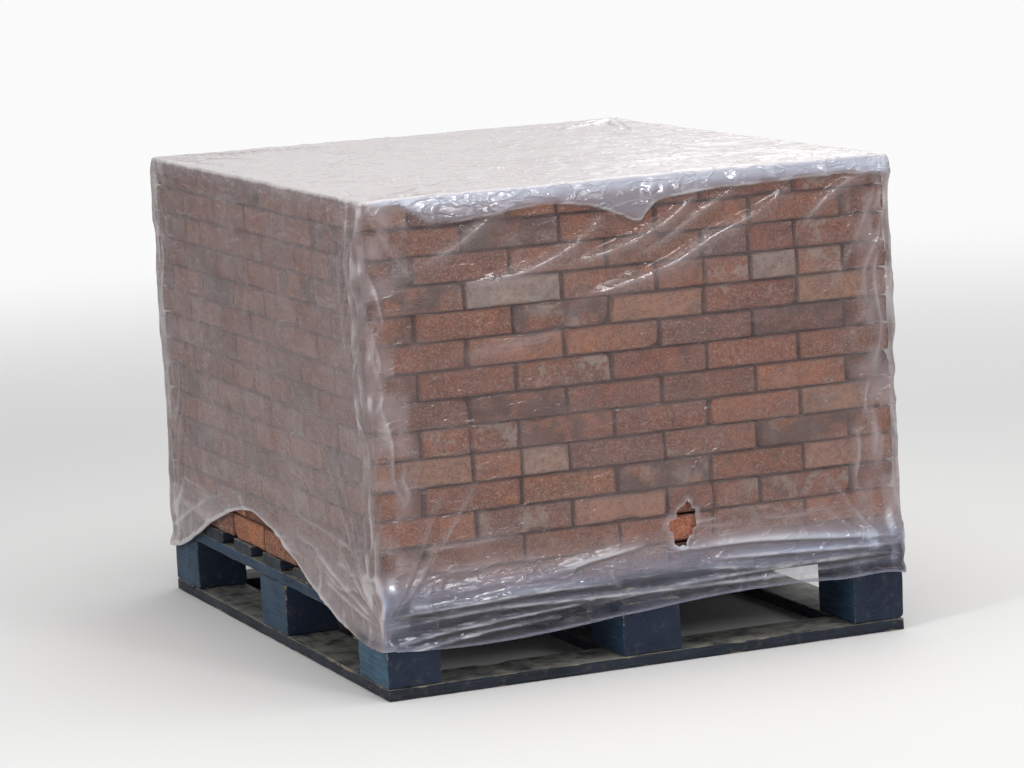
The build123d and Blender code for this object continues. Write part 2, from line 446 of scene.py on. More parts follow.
# How much lime or soot a brick may have
LIME = (0.1, 0.2, 0.3, 0.45, 0.7)
SOOT = (0.0, 0.0, 0.0, 0.1, 0.2, 0.5)
# How deep the front wall reaches, and how near a brick's middle is to the place of its colour
FRONT_DEPTH, PLACE_REACH = 0.11, 0.047


def clay_colour(level, middle, chance):
    bag = [colour for colour, count in CLAY for _ in range(count)]
    colour = np.array(chance.choice(bag)) * chance.uniform(0.80, 1.12)
    if middle[1] < -PALLET_Y + FRONT_DEPTH:
        share = middle[0] / (2 * PALLET_X) + 0.5
        for (course, place), standing in STANDING_OUT.items():
            if course == level and abs(share - place) < PLACE_REACH:
                return np.array(standing)
    return colour


def lay_course(level, name, material):
    """Every brick of a course in one piece, each where the frame has it. Returns where each one lies."""
    chance = Random(500 + level)
    points, faces, layers, laid, total = [], {}, {}, [], 0
    for number, solid in enumerate(islands(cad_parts[name].data)):
        middle, along, across, size = brick_box(solid)
        made = size * (1 - np.array([chance.uniform(0, most) for most in SHORT_OF_SIZE]))
        on_top = level == len(COURSES)
        local, quads, backs, broken, rim = worn_brick(made, on_top, chance, level * 40 + number)
        count = len(local)
        lean = chance.uniform(-1.0, 1.0) * MM / size[0]
        up = local[:, 2] + local[:, 0] * lean - (size[2] - made[2]) / 2
        level_place = middle + np.outer(local[:, 0], along) + np.outer(local[:, 1], across)
        points.append(level_place + np.outer(up, [0, 0, 1]))
        for group in (quads, backs):
            if len(group):
                faces.setdefault(group.shape[1], []).append(group + total)
        total += count
        look = {
            "tint": np.tile(clay_colour(level, middle, chance), (count, 1)),
            "grain_at": local + [chance.uniform(0, 50) for _ in range(3)],
            "broken": broken,
            "rim": rim,
            "lime": np.full(count, chance.choice(LIME)),
            "soot": np.full(count, chance.choice(SOOT)),
        }
        for key, values in look.items():
            layers.setdefault(key, []).append(values)
        laid.append((middle, along, across, size))
    groups = [np.concatenate(same) for same in faces.values()]
    piece = new_piece(f"bricks_{level:02d}", np.concatenate(points), groups, material)
    for key, values in layers.items():
        add_layer(piece, key, np.concatenate(values))
    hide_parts(name)
    return laid


brick_finish = brick_material()
laid_bricks = []
for level, name in enumerate(COURSES, 1):
    laid_bricks.append(lay_course(level, name, brick_finish))


def plain_clay():
    """The hidden bricks behind the outer ring."""
    n = new_nodes("hidden_brick")
    at = n.object_at()
    n.surface(Base_Color=n.mix(n.noise(at, 30, 4), (0.20, 0.09, 0.06), (0.34, 0.16, 0.10)),
              Roughness=n.between(n.noise(at, 60), 0.2, 0.8, 0.85, 0.97))
    return n.owner


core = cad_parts["brick_core"]
core.data.materials.clear()
core.data.materials.append(plain_clay())


# Pallet


def painted_wood(name, paint, bare_share, paint_lit_from_left=None):
    """Rough-sawn softwood under blue paint that is worn at the arrises, dirty on top and scuffed. Faces
    turned to the left can take a lighter blue, which is painted light falling from the left.
    """
    n = new_nodes(name)
    at = n.layer("grain_at", "Vector")
    edge, up = n.layer("edge"), n.layer("upward")
    grain = n.noise(n.stretch(at, (1.6, 46, 46)), 4.5, 5, 0.6, 0.25)
    fibre = n.noise(n.stretch(at, (2, 90, 90)), 6, 4, 0.7)
    cloud = n.noise(at, 9, 5, 0.6)
    scuff = n.noise(n.stretch(at, (12, 42, 42)), 2.2, 6, 0.68, 0.8)
    wood = n.mix(n.between(grain, 0.35, 0.65), (0.33, 0.235, 0.15), (0.20, 0.135, 0.085))
    wood = n.mix(n.between(cloud, 0.4, 0.7), wood, (0.17, 0.155, 0.135))
    # Left-facing faces get the lighter blue: painted light falling from the left.
    if paint_lit_from_left is not None:
        paint = n.mix(n.layer("facing_left"), paint, paint_lit_from_left)
    blue = n.mix(n.between(cloud, 0.32, 0.68), paint, n.tinted(paint, (0.55, 0.55, 0.55)))
    # Lighter streaks along the grain: grain tone, and a painted highlight on the raised fibres.
    blue = n.mix(n.between(fibre, 0.42, 0.66) * 0.75, blue, n.tinted(paint, (2.1, 2.0, 1.8)))
    worn = edge * 0.26 + (scuff + fibre * 0.12)
    bare = n.between(worn, 0.80 - bare_share, 0.90 - bare_share)
    colour = n.mix(bare, blue, wood)
    dirt = n.noise(at, 22, 4, 0.65) + (fibre - 0.5) * 0.9
    dirt = up * n.between(dirt, 0.30, 0.62)
    colour = n.mix(dirt * 0.82, colour, (0.27, 0.265, 0.23))
    splash = n.between(n.noise(at, 55, 4, 0.6), 0.52, 0.72)
    colour = n.mix(splash * 0.22, colour, (0.15, 0.125, 0.10))
    n.surface(Base_Color=colour, Roughness=n.between(cloud, 0.2, 0.8, 0.55, 0.80), Specular_IOR_Level=0.3)
    n.bump(grain * 0.6 + fibre * 0.4 + bare * -0.25, 1.3 * MM, 0.8)
    return n.owner


# The left faces of the worn blocks and stringers are painted lighter as light from the left; on the near
# block they are lighter still, for its fresher paint as well as that light.
WOOD = {
    "worn": painted_wood("worn_blue_wood", (0.010, 0.018, 0.040), 0.02, (0.018, 0.044, 0.085)),
    "fresh": painted_wood("fresh_blue_wood", (0.010, 0.018, 0.040), -0.02, (0.034, 0.085, 0.140)),
    "dull": painted_wood("dull_blue_wood", (0.013, 0.018, 0.030), 0.06),
}


def sawn_board(node, finish, seed):
    """A pallet board or block with worn arrises, saw marks and a split or two, inside the frame's solid."""
    low, high = (np.array(corner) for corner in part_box(node))
    size, middle = high - low, (high + low) / 2
    along = int(np.argmax(size))
    steps = [9 * MM, 9 * MM, 7 * MM]
    steps[along] = 16 * MM
    flat, faces, _ = box_grid(*(cuts_between(size[i], BOARD_ENDS, steps[i]) for i in range(3)))
    offset = seed * np.array([3.7, 9.1, 1.9])
    half = size / 2 - 0.15 * MM
    wear = 2.2 * MM + 1.6 * MM * smooth_noise(flat / (35 * MM) + offset, 3)
    wear = np.clip(wear, 0.8 * MM, 5 * MM)
    points, out, way = rounded(flat, half, wear)
    stretch = np.full(3, 20 * MM)
    stretch[along] = 160 * MM
    saw = layered_noise(points / stretch + offset, 3, 17)
    points += way * (-0.45 * MM * (saw + 1))[:, None]
    chance = Random(900 + seed)
    for _ in range(chance.choice((1, 2, 3))):
        corner = np.array([chance.choice((-1, 1)) for _ in range(3)], float)
        at = corner * half
        at[along] *= chance.choice((1.0, 1.0, chance.uniform(0, 0.9)))
        reach = np.full(3, chance.uniform(6, 13) * MM)
        reach[along] = chance.uniform(18, 55) * MM
        near = np.clip(1 - np.linalg.norm((points - at) / reach, axis=1), 0, 1)
        deep = np.sqrt(near) * chance.uniform(2.0, 4.5) * MM
        points -= corner * deep[:, None] * (1 - (np.arange(3) == along))
    piece = new_piece(f"{node}_wood", points + middle, [faces], WOOD[finish])
    order = [along] + [i for i in range(3) if i != along]
    add_layer(piece, "grain_at", (points + middle)[:, order] + offset)
    far = np.abs(out)
    add_layer(piece, "edge", (far > 0.3 * wear[:, None]).sum(1) >= 2)
    add_layer(piece, "upward", (out[:, 2] > 0) & (far[:, 2] > far[:, :2].max(1)))
    # Marks the left-facing faces, which the paint makes lighter as painted light from the left.
    add_layer(piece, "facing_left", (out[:, 0] < 0) & (far[:, 0] >= far[:, 1:].max(1)))
    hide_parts(node)
    return piece


def pallet_finish(node):
    if node == "block_front_left":
        return "fresh"
    return "dull" if node.startswith(("base_board", "deck_board")) else "worn"


pallet_nodes = [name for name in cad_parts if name.startswith(("block", "stringer", "base", "deck"))]
for seed, node in enumerate(sorted(pallet_nodes), 1):
    board = sawn_board(node, pallet_finish(node), seed)


# Shrink film


class Wall:
    """One side of the film. Distances run along it from its left end, seen from outside."""

    def __init__(self, name, normal, half_length, reach, count, seed, busy, milk, corner_milk):
        self.name = name
        self.normal = np.array(normal, float)
        self.along = np.array([-normal[1], normal[0]], float)
        self.half_length, self.reach, self.count = half_length, reach, count
        self.seed, self.busy, self.milk, self.corner_milk = seed, busy, milk, corner_milk

    def at(self, run):
        return self.normal * self.reach + np.outer(run - self.half_length, self.along)


FILM_GAP = 0.8 * MM
FILM_CORNER = 5 * MM
# Heights over the deck between which the film is pulled out over the pallet's edge, and how far past it
FLARE_START, FLARE_END, OVER_EDGE = 60 * MM, 4 * MM, 1.6 * MM
# The rolled bead of the hem: its radius, and how far it is rolled
BEAD, BEAD_TURN = 2.6 * MM, math.radians(290)
WALL_ROWS, ARC_STEPS, BEAD_STEPS = 98, 4, 7
END_CROWDING = 0.35
# Heights between which the hem is looked for, and how much higher it hangs at the front right corner
HEM_BETWEEN = (0.05, 0.5)
CORNER_LIFT = 16 * MM
# How deep the joints are, how far back a brick no longer counts, and how far in the film is drawn
DEEPEST, BEHIND_WALL, DRAWN_IN = -7 * MM, 8 * MM, -3.6 * MM
# How far the rim of a tear reaches, as a share of its size
TEAR_RIM = 0.55

*film_half, film_top = np.max([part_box(name)[1] for name in COURSES], axis=0) + FILM_GAP
film_half = np.array(film_half)
flare_share = (np.array([PALLET_X, PALLET_Y]) + OVER_EDGE) / film_half - 1

# Each wall with its columns, random seed, crumpling, milkiness, and how much milkier its ends are. The left
# wall's greater milkiness is partly painted glare from light reflected at a grazing angle.
WALLS = (
    Wall("front", (0, -1), *film_half, 180, 3, 0.35, 0.31, 0.34),
    Wall("right", (1, 0), *film_half[::-1], 130, 17, 0.7, 0.38, 0.30),
    Wall("back", (0, 1), *film_half, 180, 31, 0.7, 0.38, 0.30),
    Wall("left", (-1, 0), *film_half[::-1], 130, 47, 1.0, 0.50, 0.24),
)


def crowded(count):
    """Shares from 0 to 1, closer together towards both ends."""
    t = np.linspace(0, 1, count + 1)
    return t - END_CROWDING * np.sin(2 * np.pi * t) / (2 * np.pi)


def hood_columns():
    """Each upright column of the film: its wall, its run along it, how far it is turned, and its number."""
    columns = []
    for number, wall in enumerate(WALLS):
        runs = FILM_CORNER + crowded(wall.count) * 2 * (wall.half_length - FILM_CORNER)
        columns += [(number, run, 0.0, index) for index, run in enumerate(runs)]
        for step in range(1, ARC_STEPS):
            columns.append((number, 2 * wall.half_length, step / ARC_STEPS, wall.count))
    return (np.array(values) for values in zip(*columns))


def column_places(number, run, turn):
    """Where each column stands on the ground, and the way out from there."""
    places, normals = np.zeros((len(number), 2)), np.zeros((len(number), 2))
    for which, wall in enumerate(WALLS):
        own = number == which
        after = WALLS[(which + 1) % 4]
        angle = turn[own] * math.pi / 2
        normals[own] = np.outer(np.cos(angle), wall.normal) + np.outer(np.sin(angle), after.normal)
        straight = np.minimum(run[own], 2 * wall.half_length - FILM_CORNER)
        places[own] = wall.at(straight) - FILM_CORNER * wall.normal + FILM_CORNER * normals[own]
    return places, normals


def hem_heights(places, normals):
    """How high the frame's hood is cut above the ground at each column, lifted a little at one corner."""
    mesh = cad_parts["shrink_hood"].data
    tree = BVHTree.FromPolygons([v.co for v in mesh.vertices], [tuple(p.vertices) for p in mesh.polygons])
    heights = []
    for place, normal in zip(places, normals):
        low, high = HEM_BETWEEN
        for _ in range(12):
            middle = (low + high) / 2
            start = Vector((*(place + normal * 0.1), middle))
            hit = tree.ray_cast(start, Vector((*-normal, 0)), 0.14)[0]
            low, high = (low, middle) if hit else (middle, high)
        heights.append(high)
    corner = np.array([WALLS[0].half_length, -WALLS[1].half_length])
    near = ease_between(140 * MM, 10 * MM, np.linalg.norm(places - corner, axis=1))
    return np.array(heights) + CORNER_LIFT * near


def curve_through(points):
    """Close points on a smooth curve through a few, and how far along it each is, from 0 to 1."""
    points = np.asarray(points, float)
    ends = np.vstack([2 * points[0] - points[1], points, 2 * points[-1] - points[-2]])
    t = np.linspace(0, 1, 9)[:-1, None]
    parts = []
    for a, b, c, d in zip(ends, ends[1:], ends[2:], ends[3:]):
        parts.append(0.5 * (2 * b + (c - a) * t + (2 * a - 5 * b + 4 * c - d) * t**2
                            + (3 * b - a - 3 * c + d) * t**3))
    line = np.vstack([*parts, points[-1:]])
    steps = np.concatenate([[0], np.cumsum(np.linalg.norm(np.diff(line, axis=0), axis=1))])
    return line, steps / steps[-1]


class Folds:
    """Folds raised on one flat stretch of film, at points given as (along, up)."""

    LAYERS = 4

    def __init__(self, places):
        self.places = places
        self.raised = np.zeros(len(places))
        self.milk = np.zeros(len(places))
        self.distance = np.full((self.LAYERS, len(places)), 1.0)
        self.strength = np.zeros((self.LAYERS, len(places)))
        self.count = 0

    def add(self, points, height, width, milk=0.25, lean=0.5, line=0.5):
        """A ridge along a curve, in millimetres. lean is how much steeper its far side is, and line how
        strongly its crest shows as milkier film with a painted highlight, and a painted shadow beside it."""
        curve, share = curve_through(np.asarray(points, float) * MM)
        height, width = height * MM, width * MM
        margin = 3 * width
        near = np.all((self.places > curve.min(0) - margin) & (self.places < curve.max(0) + margin), axis=1)
        at = self.places[near]
        if not len(at):
            return
        best = np.full(len(at), 9.0)
        side, where = np.zeros(len(at)), np.zeros(len(at))
        for a, b, sa, sb in zip(curve, curve[1:], share, share[1:]):
            step = b - a
            t = np.clip((at - a) @ step / (step @ step), 0, 1)
            away = at - a - np.outer(t, step)
            far = np.linalg.norm(away, axis=1)
            closer = far < best
            best[closer] = far[closer]
            side[closer] = np.sign(step[0] * away[closer, 1] - step[1] * away[closer, 0])
            where[closer] = (sa + (sb - sa) * t)[closer]
        taper = np.clip(4 * where * (1 - where), 0, 1) ** 0.6
        spread = np.where(side > 0, width, width * lean)
        shape = np.exp(-((best / spread) ** 2)) * taper
        before, added = self.raised[near], height * shape
        self.raised[near] = np.maximum(before, added) + 0.25 * np.minimum(before, added)
        self.milk[near] = np.maximum(self.milk[near], milk * shape)
        layer = self.count % self.LAYERS
        self.count += 1
        strength = taper * (best < margin) * line
        spot = np.flatnonzero(near)
        nearer = (best < np.abs(self.distance[layer, spot])) & (best < margin)
        self.distance[layer, spot[nearer]] = (side * best)[nearer]
        self.strength[layer, spot[nearer]] = strength[nearer]

    def scatter(self, chance, count, along, up, slope, length, height, width, milk=0.2, bend=0.12):
        """Random folds: every pair is a range, in millimetres, and slope in degrees from level."""
        for _ in range(count):
            angle = math.radians(chance.uniform(*slope))
            reach = chance.uniform(*length)
            start = np.array([chance.uniform(*along), chance.uniform(*up)])
            way = np.array([math.cos(angle), math.sin(angle)])
            over = np.array([-way[1], way[0]])
            points = [start + way * reach * (t - 0.5)
                      + over * reach * bend * chance.uniform(-1, 1) * (0 < t < 1) for t in (0, 0.3, 0.65, 1)]
            self.add(points, chance.uniform(*height), chance.uniform(*width), milk, chance.uniform(0.35, 0.9),
                     chance.uniform(0.0, 2.5 * milk))


# Folds that the photograph shows, in millimetres: points as (along, height), rise and width. A negative
# distance along the wall counts from its right end.
FRONT_FOLDS = (
    ([(285, 840), (225, 812), (155, 768), (80, 736)], 11, 17),
    ([(640, 836), (560, 780), (450, 738), (345, 722)], 10, 19),
    ([(455, 802), (380, 752), (290, 718), (190, 702)], 9, 17),
    ([(815, 826), (750, 786), (650, 746), (570, 706), (460, 674), (370, 655)], 11, 19),
    ([(712, 834), (640, 800), (560, 752), (495, 724)], 7, 13),
    ([(365, 612), (290, 600), (180, 588)], 4, 16),
    ([(965, 838), (905, 815), (855, 778), (815, 735)], 7, 15),
    ([(985, 720), (965, 650), (975, 560), (960, 480)], 7, 14),
    ([(8, 148), (150, 154), (300, 160), (450, 156)], 9, 10),
    ([(315, 188), (420, 206), (500, 216)], 6, 10),
    ([(540, 200), (700, 201), (850, 190), (990, 178)], 8, 12),
    ([(590, 164), (750, 150), (960, 150)], 6, 9),
    ([(8, 262), (120, 256), (260, 262)], 4, 12),
    ([(0, 128), (200, 140), (400, 136), (700, 132), (990, 136)], 5, 9),
    ([(4, 96), (110, 110), (240, 120), (400, 130)], 5, 6),
    ([(8, 76), (100, 92), (210, 104), (330, 112)], 4, 5),
    ([(380, 122), (560, 140), (760, 146), (985, 148)], 5, 6),
    ([(620, 178), (760, 172), (880, 166), (990, 164)], 5, 7),
)
LEFT_FOLDS = (
    ([(-14, 845), (-32, 760), (-22, 650), (-42, 560)], 7, 9),
    ([(-52, 835), (-66, 740), (-50, 640), (-62, 520), (-40, 400)], 7, 10),
    ([(-98, 825), (-116, 700), (-100, 590)], 5, 9),
    ([(-20, 262), (-130, 250), (-290, 262), (-430, 268)], 6, 9),
    ([(-6, 150), (-40, 240), (-62, 350)], 7, 8),
    ([(-8, 146), (-80, 225), (-130, 315)], 7, 8),
    ([(-10, 142), (-130, 205), (-235, 262)], 7, 8),
    ([(-12, 136), (-180, 176), (-320, 214)], 7, 8),
    ([(-16, 130), (-150, 148), (-280, 168)], 5, 7),
)
# Folds below this height are pulled sharp, and their crests get a strong painted highlight
LOW_FOLDS = 220
# A tear in the film, as its middle and its half size
TEARS = {"front": ((570, 246), (26, 33))}
# The film folded over the front's top edge: how far along, and how deep it hangs
FRONT_LAP = ((0, 4), (70, 10), (118, 48), (205, 42), (330, 30), (420, 38), (480, 60), (515, 72), (548, 42),
             (640, 30), (780, 27), (900, 24), (993, 30))
# Random folds of each wall, one kind a row: how many on the front and on another wall, and in millimetres and
# degrees the ranges of their height, slope, length, rise and width, then how milky and how bent they are
WALL_SCATTER = (
    (7, 16, (165, 255), (-6, 7), (90, 380), (1.6, 4.5), (4, 8), 0.16, 0.05),
    (12, 20, (110, 165), (60, 120), (25, 75), (1.5, 4), (4, 8), 0.15),
    (10, 14, (film_top / MM - 70, film_top / MM - 8), (50, 130), (30, 110), (1.0, 3.0), (5, 10), 0.08),
    (8, 22, (260, 820), (-14, 16), (80, 320), (1.2, 3.6), (9, 20), 0.03),
    (6, 12, (260, 820), (60, 120), (80, 300), (1.2, 3.6), (8, 18), 0.03),
)
# The same for the two ends of each wall, and for the top
CORNER_SCATTER = ((260, 800), (70, 110), (60, 240), (1.8, 4.5), (4, 8), 0.20)
TOP_SCATTER = (
    (26, (40, 80), (150, 700), (0.8, 2.4), (6, 14), 0.1),
    (12, (-30, 25), (100, 400), (0.8, 2.0), (6, 12), 0.1),
)


def counted(points, wall):
    full = 2 * wall.half_length / MM
    return [(run if run >= 0 else full + run, height) for run, height in points]


def wall_folds(wall, places):
    """The folds of one wall: those that the photograph shows, and more of the same kinds."""
    folds = Folds(places)
    chance = Random(wall.name)
    full = 2 * wall.half_length / MM
    top = film_top / MM
    on_front = wall.name == "front"
    for points, height, width in {"front": FRONT_FOLDS, "left": LEFT_FOLDS}.get(wall.name, ()):
        low = on_front and points[0][1] < LOW_FOLDS
        folds.add(counted(points, wall), height, width, 0.45 if low else 0.20, line=1.0 if low else 0.3)
    if on_front:
        folds.add([(run, top - deep) for run, deep in FRONT_LAP[1:]], 0.1, 6, 0.1, line=0.9)
    for end, inward in ((0, 1), (full, -1)):
        for _ in range(3 if on_front else 5):
            up, out = chance.uniform(60, 300), chance.uniform(15, 260)
            points = [(end + inward * 4, 128 + chance.uniform(0, 24)),
                      (end + inward * out * 0.5, 140 + up * 0.42), (end + inward * out, 150 + up)]
            rise, width = chance.uniform(3, 7), chance.uniform(6, 12)
            folds.add(points, rise, width, 0.16, line=chance.uniform(0, 0.3))
        for _ in range(2 if on_front else 4):
            down, out = chance.uniform(40, 240), chance.uniform(15, 160)
            points = [(end + inward * 3, top - 6), (end + inward * out * 0.45, top - 10 - down * 0.5),
                      (end + inward * out, top - 10 - down)]
            rise, width = chance.uniform(2.5, 6), chance.uniform(6, 12)
            folds.add(points, rise, width, 0.12, line=chance.uniform(0, 0.2))
        side = sorted((end + inward * 8, end + inward * 75))
        folds.scatter(chance, 5 if on_front else 9, side, *CORNER_SCATTER)
    for few, many, *ranges in WALL_SCATTER:
        folds.scatter(chance, few if on_front else many, (0, full), *ranges)
    return folds


def top_folds(places):
    folds = Folds(places)
    chance = Random("top")
    wide, long = film_half / MM
    for x, y, _ in product((-1, 1), (-1, 1), range(6)):
        reach = chance.uniform(80, 380)
        turn = math.radians(chance.uniform(8, 82))
        end = (x * (wide - 6 - reach * math.cos(turn)), y * (long - 6 - reach * math.sin(turn)))
        start = (x * (wide - 7), y * (long - 7))
        middle = [(a + b) / 2 + chance.uniform(-12, 12) for a, b in zip(start, end)]
        folds.add([start, middle, end], chance.uniform(2, 4), chance.uniform(5, 9), 0.1)
    for count, *ranges in TOP_SCATTER:
        folds.scatter(chance, count, (-wide, wide), (-long, long), *ranges)
    return folds


def face_depths(wall, run, height, shape):
    """How far the film lies out from its wall's plane where it is drawn onto the bricks' faces."""
    depth = np.full(len(run), DEEPEST)
    for course in laid_bricks:
        for middle, along, across, size in course:
            corners = [middle[:2] + i * along[:2] * size[0] / 2 + j * across[:2] * size[1] / 2
                       for i in (-1, 1) for j in (-1, 1)]
            out = max(corner @ wall.normal for corner in corners)
            if out < wall.reach - BEHIND_WALL:
                continue
            runs = [corner @ wall.along + wall.half_length for corner in corners]
            on = (run > min(runs)) & (run < max(runs)) & (np.abs(height - middle[2]) < size[2] / 2)
            depth[on] = np.maximum(depth[on], out - wall.reach)
    drawn = depth.reshape(shape)
    for axis in (0, 1):
        drawn = np.max([np.roll(drawn, step, axis) for step in (-1, 0, 1)], axis=0)
    for axis in (0, 1, 0, 1):
        drawn = (np.roll(drawn, 1, axis) + 2 * drawn + np.roll(drawn, -1, axis)) / 4
    drawn = np.maximum(drawn, depth.reshape(shape)) + FILM_GAP
    drawn[:, :2] = drawn[:, -2:] = 0
    return np.clip(drawn, DRAWN_IN, 0).ravel()


def tear_reach(wall, run, height):
    """How far each point is from the middle of the wall's tear, where 1 is its edge."""
    if wall.name not in TEARS:
        return np.full(len(run), 2 + TEAR_RIM)
    middle, half = (np.array(values) * MM for values in TEARS[wall.name])
    away = (np.column_stack([run, height]) - middle) / half
    ragged = 0.42 * smooth_noise(np.column_stack([away * 1.7, np.zeros(len(run))]), 5)
    return np.linalg.norm(away, axis=1) + ragged


def cut_tear(wall, run, height):
    """Moves the points next to the tear's edge onto it. Also returns which points lie in it."""
    middle = np.array(TEARS[wall.name][0]) * MM

    def reach():
        return tear_reach(wall, run.ravel(), height.ravel()).reshape(run.shape)

    inside = reach() < 1
    deep = inside.copy()
    for axis in (0, 1):
        deep &= np.roll(deep, 1, axis) & np.roll(deep, -1, axis)
    at_edge = inside & ~deep
    for _ in range(4):
        pull = np.where(at_edge, 1 / np.clip(reach(), 0.3, 3), 1)
        run = middle[0] + (run - middle[0]) * pull
        height = middle[1] + (height - middle[1]) * pull
    return run, height, inside


def front_lap(run, height):
    """The doubled film along the front's top edge: how far it stands out, and where it covers the wall."""
    lap_at, lap_deep = (np.array(values, float) * MM for values in zip(*FRONT_LAP))
    level = np.zeros(len(run))
    deep = np.interp(run, lap_at, lap_deep)
    deep = deep + 3 * MM * smooth_noise(np.column_stack([run, level, level]) / (40 * MM), 71)
    above = height - (film_top - deep)
    swell = np.where(above > 0, 1 - np.clip(above / np.maximum(deep, 4 * MM), 0, 1) ** 1.5,
                     np.exp(-((above / (2.4 * MM)) ** 2)))
    return np.clip(deep * 0.22, 2 * MM, 11 * MM) * swell, ease_between(-1 * MM, 3 * MM, above)


def film_on_wall(wall, run, height, shape):
    """How far out the film lies on a wall, how milky it is, how much painted bluish reflection it gets, and
    its folds.
    """
    folds = wall_folds(wall, np.column_stack([run, height]))
    flat = np.column_stack([run, height, np.zeros(len(run))])

    def noise(across, tall, seed):
        """Smooth noise with features of this size, in millimetres."""
        return smooth_noise(flat / [across * MM, tall * MM, 1], wall.seed + seed)

    def over_deck(low, high):
        """From 0 to 1 between two heights, in millimetres from the deck."""
        return ease_between(DECK_TOP + low * MM, DECK_TOP + high * MM, height)

    near_end = ease_between(110 * MM, 15 * MM, np.minimum(run, 2 * wall.half_length - run))
    crumple = np.clip(wall.busy + near_end * 0.8, 0, 1.2)
    crease = 1 - np.abs(layered_noise(flat / (55 * MM), 3, wall.seed))
    out = face_depths(wall, run, height, shape) * (1 - over_deck(70, 20))
    out += 1.5 * MM * crumple * crease**4
    out += 0.8 * MM * (layered_noise(flat / (160 * MM), 2, wall.seed + 5) + 1) * crumple
    wave = np.clip(noise(120, 260, 19), 0, 1)
    out += 5 * MM * wall.busy * wave * ease_between(0, 90 * MM, film_top - height)
    out += 7 * MM * near_end * np.clip(noise(1000, 95, 11), 0, 1) * over_deck(0, 70)
    out += folds.raised
    milk = wall.milk + 0.16 * (1 - wall.milk) * crumple * crease**6 + folds.milk
    milk += 0.09 * wall.busy * layered_noise(flat / [150 * MM, 90 * MM, 1], 3, wall.seed + 13)
    milk += wall.corner_milk * near_end * np.clip(0.35 + 1.1 * noise(20, 34, 7), 0, 1)
    milk += 0.20 * over_deck(95, 40)
    milk += 0.24 * ease_between(film_top - 34 * MM, film_top - 6 * MM, height)
    # A bluish tint on the lower band over the deck and on the lap: painted reflection of a blue sky, with the
    # blue of the pallet behind.
    cool = np.zeros(len(run))
    if wall.name == "front":
        swell, covered = front_lap(run, height)
        milk -= 0.36 * over_deck(8, -12)
        milk += 0.36 * covered
        cool = np.maximum(over_deck(62, 12), 0.6 * covered)
        out += swell
    if wall.name == "left":
        to_near = 2 * wall.half_length - run
        milk -= 0.55 * ease_between(118 * MM, 92 * MM, height) * ease_between(190 * MM, 90 * MM, to_near)
    rim = ease_between(1 + TEAR_RIM, 1, tear_reach(wall, run, height))
    out += 5 * MM * rim**2
    milk += 0.35 * rim**3
    return out, milk, cool, folds


def film_on_top(places):
    folds = top_folds(places)
    flat = np.column_stack([places, np.zeros(len(places))])
    crease = 1 - np.abs(layered_noise(flat / (90 * MM), 3, 61))
    out = FILM_GAP + folds.raised + 1.6 * MM * crease**4
    out = out + 1.0 * MM * (layered_noise(flat / (200 * MM), 2, 67) + 1)
    milk = 0.97 + 0.05 * crease**6 + folds.milk + 0.06 * layered_noise(flat / (120 * MM), 3, 77)
    return out, milk, folds


def hood_lid(number, index):
    """Where the points of the top lie, and which of them is next to each column."""
    wide, long = WALLS[0].count, WALLS[1].count
    across, down = ((crowded(n) * 2 - 1) * (half - FILM_CORNER) for n, half in zip((wide, long), film_half))
    lids = np.array([(x, y) for y in down for x in across])
    edge = []
    for which, i in zip(number, index):
        x, y = ((i, 0), (wide, i), (wide - i, long), (0, long - i))[which]
        edge.append(y * (wide + 1) + x)
    return lids, np.array(edge)


def ring_faces(lower, upper):
    """Four-cornered faces between two closed rings of points."""
    return np.column_stack([lower, np.roll(lower, -1), np.roll(upper, -1), upper])


def hood_faces(levels, torn, edge):
    """Faces between the rings of the walls, but for the torn ones, from there to the top, and over it."""
    count = len(edge)
    around = np.arange(count)
    quads = [ring_faces(around + r * count, around + (r + 1) * count) for r in range(levels - 1)]
    for row in range(WALL_ROWS):
        in_tear = torn[row] & torn[row + 1]
        quads[BEAD_STEPS + row] = quads[BEAD_STEPS + row][~(in_tear & np.roll(in_tear, -1))]
    first_lid = levels * count
    last = ring_faces(around + first_lid - count, first_lid + edge)
    apart = edge != np.roll(edge, -1)
    wide, long = WALLS[0].count, WALLS[1].count
    x, y = np.meshgrid(np.arange(wide), np.arange(long))
    corner = (first_lid + y * (wide + 1) + x).ravel()
    over = np.column_stack([corner, corner + 1, corner + wide + 2, corner + wide + 1])
    return [np.vstack([*quads, last[apart], over]), last[~apart][:, [0, 1, 3]]]


